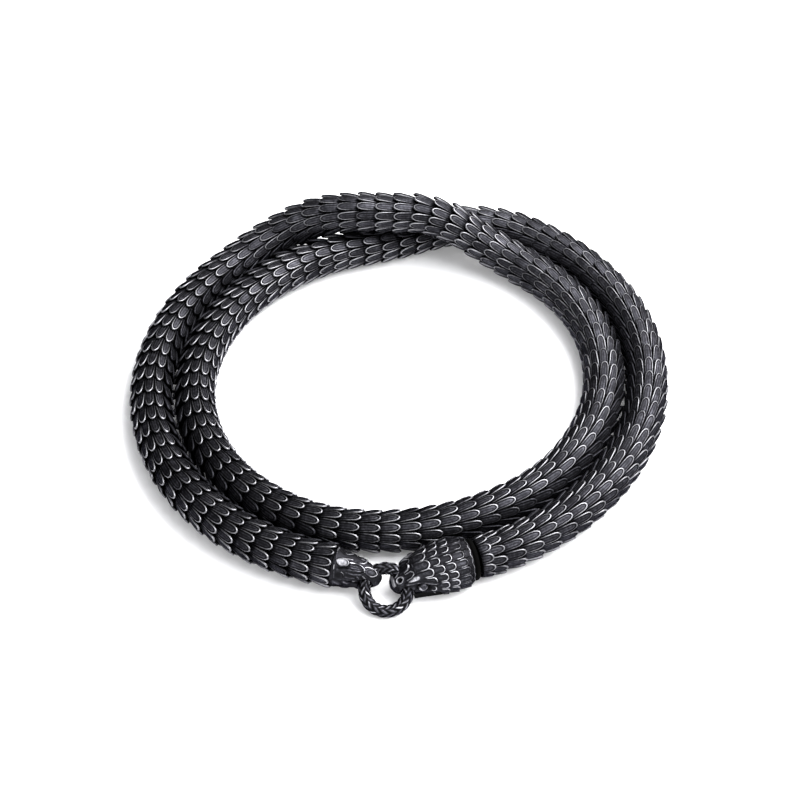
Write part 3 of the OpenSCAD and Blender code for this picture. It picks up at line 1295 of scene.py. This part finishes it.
@dataclass(frozen=True)
class Head:
    """The cast snake head, with its scales, brows, eyes, nostrils and lips.

    Attributes:
        crowding: Power that sets its rows closer at the snout.
        rounding: Share of its length over which the sections are rounded.
        crown: Angle of its top, where 0 is the near side.
        brow: Angle from the crown to a brow.
        eye: Place along, angle and half size of the near eye.
        eye_seat: Half width, half height and middle height of the ellipse on which the eyes lie.
        eye_flat: Thickness and height of an eyeball, as shares of its size.
        sections: Share of the length, half width, height above and depth below, from neck to snout.
        neck_rows: Place along, slant, half width and length of each row of scales.
        neck_steps: Angles from the crown of the scales in a row.
        neck_slant: Angle from the crown at which a row begins to slant, and over which it does.
        face_scales: Place along, angle from the crown, half width and length, alike on both sides.
        odd_scales: Single scales, with their own angles.
        nostrils: Angle, radius and height of the near nostril and the far one.
    """

    route: Route = Route()
    seat: RingSeat = RingSeat()
    length: float = 16.6
    rows: int = 210
    columns: int = 330
    crowding: float = 1.15
    rounding: float = 0.012
    crown: float = 84.5
    brow: float = 42.5
    eye: tuple[float, float, float] = (10.95, 9.5, 0.98)
    eye_seat: tuple[float, float, float] = (4.10, 3.85, -0.15)
    eye_flat: tuple[float, float] = (0.72, 0.86)
    sections: tuple[tuple[float, ...], ...] = (
        (0.0, 4.35, 4.35, 4.35),
        (0.06, 5.0, 4.45, 4.4),
        (0.235, 5.6, 4.62, 4.45),
        (0.41, 5.45, 4.42, 4.45),
        (0.565, 4.85, 4.02, 4.4),
        (0.705, 4.1, 3.5, 4.1),
        (0.81, 3.45, 2.55, 4.0),
        (0.885, 2.9, 1.65, 3.9),
        (0.955, 2.1, 0.6, 3.5),
        (0.985, 1.45, -0.1, 3.05),
        (1.0, 0.7, -0.75, 2.4),
    )
    neck_rows: tuple[tuple[float, ...], ...] = (
        (-0.35, 0.40, 0.78, 2.4),
        (1.75, 0.70, 0.82, 2.6),
        (4.3, 0.62, 0.84, 2.5),
        (6.8, 1.02, 0.86, 2.5),
    )
    neck_steps: tuple[float, ...] = (11.5, 31.0, 50.0, 70.0, 90.0, 111.0, 132.0, 154.0)
    neck_slant: tuple[float, float] = (8.0, 36.0)
    face_scales: tuple[tuple[float, ...], ...] = (
        (8.35, 76.5, 0.86, 2.2),
        (8.0, 55.5, 0.92, 3.4),
        (8.4, 33.0, 0.88, 3.0),
        (9.0, 13.5, 1.02, 3.6),
        (8.5, 98.0, 0.95, 2.4),
    )
    odd_scales: tuple[tuple[float, ...], ...] = (
        (9.1, 98.0, 1.04, 2.9),
        (8.75, 72.0, 1.04, 3.2),
        (12.65, 89.0, 0.66, 1.8),
    )
    nostrils: tuple[tuple[float, ...], ...] = ((57.0, 0.60, 0.22), (112.0, 0.45, 0.12))

    def surface(self) -> tuple[Array, Relief]:
        """Smooth head: ellipses carried along its axis, whose sizes come from the sections.

        Returns:
            The points, and the bare relief on them.
        """
        share = 1.0 - np.linspace(1.0, 0.0, self.rows) ** self.crowding
        size = rounded_table(share, np.array(self.sections), self.rounding)
        wide, above, below = size[:, :1], size[:, 1:2], size[:, 2:3]
        tall = (above + below) / 2.0
        angle = circle(self.columns, 360.0)[None]
        turn = np.radians(angle)
        layers = np.broadcast_arrays(
            share[:, None] * self.length,
            wide * np.cos(turn),
            (above - below) / 2.0 + tall * np.sin(turn),
            angle,
            (wide + tall) / 2.0,
        )
        return np.stack(layers[:3], axis=-1), Relief(layers[0], layers[3], layers[4])

    def scales(self) -> list[tuple[float, ...]]:
        """Scales from the neck to the snout, with rounded ends towards the neck.

        A row slants: its scales lie farther back the farther they are from the crown, up to a limit.

        Returns:
            Place along, angle, half width and length of each. Later ones lie on earlier ones.
        """
        found = []
        first, span = self.neck_slant
        for at, slant, half, length in self.neck_rows:
            for step in self.neck_steps:
                back = slant * min(max(step - first, 0.0) / span, 1.0)
                found += [(at - back, self.crown + side * step, half, length) for side in SIDES]
        for side in SIDES:
            found += [(at, self.crown + side * step, *size) for at, step, *size in self.face_scales]
        return [*found, *self.odd_scales]

    def face(self, relief: Relief, side: float, nostril: tuple[float, ...]) -> None:
        """Adds one side's eye socket, brow, nostril and lips, by angles from the brow or the crown.

        Args:
            relief: Relief of the head.
            side: -1 for the near side and 1 for the far one.
            nostril: Angle, radius and height of the nostril.
        """
        at, angle, _ = self.eye
        eye_angle = angle if side < 0.0 else 2.0 * self.crown - angle
        brow = self.crown + side * self.brow
        fold = ((13.8, -26.0), (12.7, -27.5), (12.25, -21.5), (12.3, -14.5), (12.8, -8.0), (13.6, -4.0))
        # Painted shade with soot: the eye socket is darkened, and so is a wider, nearly flat patch around it.
        relief.swell(at, eye_angle, (1.9, 1.20), -0.75, 1.0)
        relief.swell(at, eye_angle, (2.6, 1.5), -0.01, 1.0)
        relief.trace(((12.4, -1.0), (13.9, 6.0)), 0.16, 0.12, 1.0, brow, side)
        relief.swell(12.55, brow - side, (1.70, 0.64), 0.50, 1.15)
        relief.trace(fold, 0.12, 0.12, 0.95, brow, side)
        relief.trace(((8.2, 21.0), (11.5, 16.0), (13.9, 12.0)), 0.20, 0.20, 0.68, brow, side)
        relief.trace(((11.9, -20.0), (11.9, -26.0)), 0.09, 0.06, 0.5, brow, side)
        relief.trace(((12.15, -39.0), (12.1, -49.0)), 0.09, 0.06, 0.5, brow, side)
        relief.loop(15.0, nostril[0], nostril[1], 0.17, nostril[2])
        relief.trace(((9.3, 47.5), (15.6, 37.5)), 0.14, -0.16, 1.0, brow, side)
        for at_lip in (12.9, 14.0, 15.0):
            relief.swell(at_lip, brow + side * 35.5, (0.40, 0.55), 0.10, 0.45)

    def ends(self, relief: Relief) -> None:
        """Adds the rear rim, darkening of soot and painted shade at the rear end, the recess for the jaw gate
        and the snout, and what lies on the snout.

        Rims are bells of the place along, and the recess is a product of smooth steps along and around.

        Args:
            relief: Relief of the head.
        """
        along, angle = relief.along, relief.angle
        ridge = bell(along - 0.34 - 0.10 * np.cos(np.radians(16.0 * angle)), 0.15)
        # Painted shade with soot: the rear end next to the neck band is darkened.
        relief.soot_and_shade = np.maximum(relief.soot_and_shade, 0.75 * smooth_step(1.5, 1.1, along))
        low = smooth_step(-0.12, -0.34, np.sin(np.radians(angle)))
        jaw = low * smooth_step(6.7, 7.5, along) * smooth_step(13.9, 13.1, along)
        relief.height = relief.height * (1.0 - jaw) - 0.40 * jaw
        relief.worn = relief.worn * (1.0 - jaw)
        relief.height = relief.height * smooth_step(0.4, 1.1, along) + 0.12 * ridge
        relief.worn = np.maximum(relief.worn * smooth_step(0.5, 1.0, along), 0.72 * ridge)
        arch = ((13.9, 75.0), (13.1, 78.0), (12.75, 84.0), (12.65, 90.0), (12.9, 98.0))
        relief.trace(arch, 0.12, 0.05, 0.8)
        relief.trace(((14.8, 90.0), (15.3, 82.0), (15.9, 76.0)), 0.15, 0.12)
        relief.trace(((15.95, 36.0), (16.05, 60.0), (16.05, 88.0)), 0.14, 0.16)
        snout = bell(along - 16.15, 0.27) * smooth_step(15.0, 40.0, angle)
        snout = snout * smooth_step(150.0, 120.0, angle)
        relief.height = relief.height * smooth_step(16.5, 15.7, along) + 0.20 * snout
        relief.worn = np.maximum(relief.worn, 1.3 * snout)

    def place(self, points: Array) -> Array:
        """Carries points from the head's own axes to the necklace's."""
        turned = points @ turning(self.route.heading(self.route.head_at) + 180.0, 2)
        return turned + self.route.points(self.route.head_at)

    def eyeball(self, side: float) -> Skin:
        """One eye: a flattened ball that looks sideways, bright in a bow below its middle.

        Args:
            side: -1 for the near eye and 1 for the far one.

        Returns:
            The eye.
        """
        at, angle, size = self.eye
        wide, tall, mid = self.eye_seat
        thick, high = self.eye_flat
        turn = math.radians(angle)
        middle = np.array([at, wide * math.cos(turn), mid + tall * math.sin(turn)])
        rise = np.linspace(0.04, math.pi - 0.04, 18)[:, None]
        around = side * circle(32)[None]
        across, up = np.sin(rise) * np.cos(around), np.sin(rise) * np.sin(around)
        ball = np.stack(np.broadcast_arrays(across, -np.cos(rise) * thick, up * high), axis=-1) * size
        points = (ball + middle) * np.array([1.0, -side, 1.0])
        rim = smooth_step(0.50, 0.70, np.hypot(across, up - 0.38)) * smooth_step(0.60, 0.30, up)
        values = {"worn": 0.14 + rim, "soot_and_shade": 0.0 * rim}
        return closed_grid(self.place(points), values, np.zeros((*points.shape[:2], 2)))

    def build(self, steel: bpy.types.Material) -> list[bpy.types.Object]:
        """Builds the head with the ring's way cut through it, and both eyes.

        Args:
            steel: Finish of the head.

        Returns:
            The pieces.
        """
        points, relief = self.surface()
        for scale in self.scales():
            relief.scale(*scale)
        relief.worn *= 0.55 + 0.45 * smooth_step(1.0, 4.5, relief.along)
        relief.worn *= 1.0 - 0.35 * smooth_step(100.0, 140.0, relief.angle)
        for side, nostril in zip(SIDES, self.nostrils):
            self.face(relief, side, nostril)
        self.ends(relief)
        pieces = [relief.cast("head_cast", "head", points, self.place, self.seat.torus(), steel)]
        for side, name in zip(SIDES, ("eye_near", "eye_far")):
            eye = self.eyeball(side).build(name)
            dress(eye, steel, Slot.CLASP)
            pieces.append(eye)
        return pieces


@dataclass(frozen=True)
class TailCap:
    """The tapered cap on the last link, cast with leaves that point to its tip.

    Attributes:
        cap_r: Its radius; nose_r is that of its nose.
        cap_len: Its length from its rim.
        cap_turn: How far it is turned from the line.
        rounding: Length over which its outline is rounded.
        strokes: Spots, half width, height and wear of the strokes on one side: outlines, then grooves,
            then light patches and the outlines that lie on top.
    """

    route: Route = Route()
    seat: RingSeat = RingSeat()
    cap_r: float = 3.95
    rim_at: float = 1.5
    cap_len: float = 9.65
    nose_r: float = 1.9
    cap_turn: float = -4.5
    rounding: float = 0.12
    rows: int = 170
    columns: int = 200
    strokes: tuple[tuple[Spots, float, float, float], ...] = (
        (((1.5, 150), (1.6, 118), (1.75, 100)), 0.12, 0.12, 1.0),
        (((1.75, 100), (2.0, 80), (2.1, 57)), 0.10, 0.05, 0.35),
        (((2.05, 57), (2.2, 41)), 0.14, 0.14, 1.0),
        (((2.3, 41), (2.4, 20), (2.2, -5), (2.1, -45)), 0.10, 0.04, 0.3),
        (((3.6, 86), (4.4, 90), (5.2, 93)), 0.16, 0.13, 0.8),
        (((6.6, 79), (7.0, 73), (7.15, 66)), 0.09, 0.06, 0.6),
        (((6.3, 89), (6.9, 93), (7.4, 98), (7.7, 108), (7.8, 125)), 0.13, 0.11, 0.8),
        (((3.7, 42), (4.1, 38), (4.3, 31)), 0.10, 0.12, 0.9),
        (((6.9, 35), (7.15, 31), (7.3, 24)), 0.09, 0.10, 0.7),
        (((7.8, 41), (8.15, 37), (8.5, 30)), 0.13, 0.12, 0.9),
        (((2.5, 13), (3.6, 15), (4.6, 17), (6.0, 17)), 0.11, 0.07, 0.45),
        (((6.1, 3), (6.5, 9), (6.9, 11), (7.4, 8)), 0.15, 0.12, 0.7),
        (((5.2, 74), (6.3, 76)), 0.09, 0.07, 0.6),
        (((5.1, 69), (6.6, 71)), 0.09, 0.07, 0.6),
        (((5.1, 62), (7.0, 64)), 0.09, 0.07, 0.6),
        (((4.7, 53), (6.0, 54), (7.3, 58)), 0.10, 0.08, 0.6),
        (((4.6, 43), (6.0, 40), (7.6, 46)), 0.10, 0.08, 0.55),
        (((4.6, 27), (5.6, 25), (6.4, 26)), 0.11, 0.08, 0.5),
        (((4.7, 48), (6.0, 47), (8.2, 50)), 0.10, -0.12, 0.0),
        (((4.6, 35), (6.3, 33)), 0.11, -0.12, 0.0),
        (((6.6, 31), (6.8, 23)), 0.26, -0.20, 0.0),
        (((7.6, 34), (8.1, 24)), 0.28, -0.20, 0.0),
        (((4.75, 11), (5.6, 8)), 0.25, -0.18, 0.0),
        (((3.4, 8), (3.9, -4)), 0.09, -0.10, 0.0),
        (((4.05, 34), (4.2, 28), (4.1, 23)), 0.13, -0.12, 0.0),
        (((2.5, 1), (3.3, -7)), 0.34, 0.05, 0.52),
        (((4.4, 4), (5.1, -5)), 0.26, 0.06, 0.62),
        (((6.2, 10), (7.0, 6)), 0.20, 0.08, 0.75),
        (((4.9, 79), (6.0, 82.5), (6.7, 82.5), (7.3, 79), (7.8, 71), (8.1, 62)), 0.13, 0.09, 1.0),
        (((8.0, 84), (8.5, 92), (9.0, 96), (9.5, 96)), 0.13, 0.06, 0.9),
    )

    def profile(self) -> Array:
        """Outline of the cap: a tapered side and an arc for its nose.

        Returns:
            Place along and radius, one row a point.
        """
        rim, radius, nose = self.rim_at, self.cap_r, self.nose_r
        turn = np.radians(np.linspace(20.0, 88.0, 9))
        arc = np.stack([rim + self.cap_len - nose + nose * np.sin(turn), nose * np.cos(turn)], axis=-1)
        side = [
            (0.0, 3.3),
            (rim - 0.15, 3.42),
            (rim, radius),
            (rim + 0.4, radius),
            (rim + 1.6, radius - 0.25),
            (rim + 3.4, radius - 0.55),
            (rim + 5.2, radius - 1.0),
        ]
        return np.concatenate([side, arc])

    def place(self, points: Array) -> Array:
        """Carries points from the cap's own axes to the necklace's, with its axis level."""
        turn = turning(self.route.heading(self.route.cap_at) + self.cap_turn, 2)
        return points * np.array([1.0, -1.0, 1.0]) @ turn + self.route.points(self.route.cap_at)

    def carve_side(self, relief: Relief, turned: float) -> None:
        """Adds the leaves, hollows and strokes of one side of the cap.

        Args:
            relief: Relief of the cap.
            turned: Turn about the cap's axis, where 0 is the near side.
        """
        relief.leaf(5.6, 8.0, turned + 122.0, 0.66, 0.16)
        relief.leaf(2.2, 5.0, turned + 116.0, 0.86, 0.16)
        relief.leaf(4.9, 8.2, turned + 68.0, 0.78, 0.20)
        # Painted shade with soot: a hollow is darkened.
        relief.swell(3.15, turned + 30.0, (1.05, 1.10), -0.35, 0.8)
        for stroke in self.strokes:
            relief.trace(*stroke, turned)
        relief.leaf(8.1, 10.5, turned + 68.0, 0.86, 0.20)
        relief.leaf(2.1, 4.9, turned + 73.0, 0.94, 0.20, 0.72)
        # Painted shade with soot: a wide groove under the boss is darkened.
        relief.trace(((3.0, 51.0), (3.8, 56.0), (4.6, 58.0)), 0.30, -0.26, 1.0, turned)

    def build(self, steel: bpy.types.Material) -> bpy.types.Object:
        """Builds the cap: its outline turned about its axis, raised by the leaves' relief.

        Args:
            steel: Finish of the cap.

        Returns:
            The cap.
        """
        outline = self.profile()
        travel = travelled(outline)
        marks = np.linspace(0.0, travel[-1], self.rows)
        spots = rounded_table(marks, np.column_stack([travel, outline]), self.rounding)
        angle = circle(self.columns, 360.0)[None]
        along, radius, angle = np.broadcast_arrays(spots[:, :1], spots[:, 1:2], angle)
        points = np.roll(cylinder(radius, np.radians(angle), along), 1, axis=-1)
        relief = Relief(along, angle, radius)
        relief.soot_and_shade += 0.22
        for turned in (180.0, 0.0):
            self.carve_side(relief, turned)
        relief.swell(9.3, -32.0, (2.2, 1.9), 0.50, 0.1)
        # Painted shade with soot: a deep hollow is darkened.
        relief.swell(7.6, -5.0, (2.3, 1.05), -0.80, 1.0)
        relief.worn *= smooth_step(0.5, 1.1, np.hypot((along - 7.8) / 2.4, relief.across(-6.0) / 1.0))
        relief.swell(self.rim_at + 0.15, 122.0, (0.32, 0.42), 0.24, 0.9)
        relief.height = relief.height * smooth_step(self.rim_at - 0.1, self.rim_at + 0.3, along)
        return relief.cast("tail_cap_cast", "tail_cap", points, self.place, self.seat.torus(1.15), steel)


# The set


@dataclass(frozen=True)
class Studio:
    """Floor, light and camera.

    Attributes:
        elevation: Angle at which the camera looks down.
        clips: Nearest and farthest distance that it shows, in metres.
        sky: Strength of the pale surround.
        boxes: Name, place and sides in metres, power in watts and tint of each soft box.
    """

    elevation: float = 47.5
    distance: float = 480.0
    target: tuple[float, float, float] = (0.0, -6.05, 4.5)
    focal: float = 101.0
    sensor: float = 36.0
    clips: tuple[float, float] = (0.01, 10.0)
    sky: float = 0.02
    floor_half: float = 900.0
    boxes: tuple[tuple, ...] = (
        ("main", (0.34, 0.27, 0.52), (0.50, 0.60), 10.0, (1.0, 0.99, 0.98)),
        ("top", (0.22, -0.10, 0.78), (0.80, 0.60), 5.0, (0.97, 0.98, 1.0)),
        ("left", (-0.50, -0.10, 0.50), (0.40, 0.60), 0.55, (0.97, 0.98, 1.0)),
        ("right", (0.42, -0.10, 0.58), (0.50, 0.60), 7.0, (1.0, 1.0, 1.0)),
        ("front", (-0.10, -0.52, 0.36), (0.60, 0.30), 2.1, (1.0, 1.0, 1.0)),
    )

    def floor(self) -> None:
        """Lays a wide white floor under the necklace."""
        corners = np.array([[-1.0, -1.0, 0.0], [1.0, -1.0, 0.0], [1.0, 1.0, 0.0], [-1.0, 1.0, 0.0]])
        floor = Skin(corners * self.floor_half, [np.array([[0, 1, 2, 3]])]).build("floor")
        floor.data.materials.append(Paper().make())

    def camera(self) -> None:
        """Stands the camera before its target and over it, by the cosine and sine of its elevation."""
        lens = bpy.data.cameras.new("camera")
        lens.lens = self.focal
        lens.sensor_width = self.sensor
        lens.clip_start, lens.clip_end = self.clips
        camera = bpy.data.objects.new("camera", lens)
        rise = math.radians(self.elevation)
        back = self.distance * math.cos(rise)
        up = self.distance * math.sin(rise)
        x, y, z = self.target
        camera.location = (x * MM, (y - back) * MM, (z + up) * MM)
        camera.rotation_euler = (math.pi / 2.0 - rise, 0.0, 0.0)
        bpy.context.scene.collection.objects.link(camera)
        bpy.context.scene.camera = camera

    def soft_box(self, name: str, place: tuple, size: tuple, power: float, tint: tuple) -> None:
        """Hangs a rectangular light, tilted and turned by the angles of its place, to face the necklace.

        Args:
            name: Its name.
            place: Where it hangs, in metres.
            size: Its two sides, in metres.
            power: Its power in watts.
            tint: Its colour.
        """
        box = bpy.data.lights.new(name, "AREA")
        box.shape = "RECTANGLE"
        box.size, box.size_y = size
        box.energy = power
        box.color = tint
        lamp = bpy.data.objects.new(name, box)
        x, y, z = place
        lamp.location = place
        lamp.rotation_euler = (math.atan2(math.hypot(x, y), z), 0.0, math.atan2(x, -y))
        bpy.context.scene.collection.objects.link(lamp)

    def light(self) -> None:
        """Lights the set with a faint pale surround and soft boxes, and shows its colours unchanged."""
        world = bpy.data.worlds.new("surround")
        world.use_nodes = True
        sky = world.node_tree.nodes["Background"]
        sky.inputs["Color"].default_value = (0.93, 0.95, 1.0, 1.0)
        sky.inputs["Strength"].default_value = self.sky
        bpy.context.scene.world = world
        for box in self.boxes:
            self.soft_box(*box)
        view = bpy.context.scene.view_settings
        view.view_transform = "Standard"
        view.look = "None"
        view.exposure = 0.0

    def build(self) -> None:
        """Builds the whole set."""
        for part in (self.floor, self.camera, self.light):
            part()


def dress_nodes(frame: dict) -> None:
    """Gives the solids that stay visible their finishes.

    Args:
        frame: The loaded frame.
    """
    finishes = {
        "jaw_gate": MatteBlack("gate_black", 0.006, 0.55, 0.2, 1.0).make(),
        "neck_band": MatteBlack("band_rubber", 0.0015, 0.9, 0.02).make(),
    }
    for node, material in finishes.items():
        for holder in frame["nodes"][node].material_slots:
            holder.material = material


def main() -> None:
    """Builds the necklace over its frame, then the set, and reports the pieces."""
    logging.basicConfig(level=logging.INFO, format="%(name)s: %(message)s")
    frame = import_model()
    chain_steel = WornSteel("chain_steel", Steel.CHAIN, (9.0, 0.7)).make()
    clasp_steel = WornSteel("clasp_steel", Steel.CLASP, (3.0, 3.0), 0.03).make()
    pieces = [
        *Chain().build(chain_steel),
        *Head().build(clasp_steel),
        ClaspRing().build(clasp_steel),
        TailCap().build(clasp_steel),
    ]
    dress_nodes(frame)
    Studio().build()
    for piece in pieces:
        faces = sum(len(face.vertices) - 2 for face in piece.data.polygons)
        log.info("%s: %d triangles", piece.name, faces)


if __name__ == "__main__":
    main()
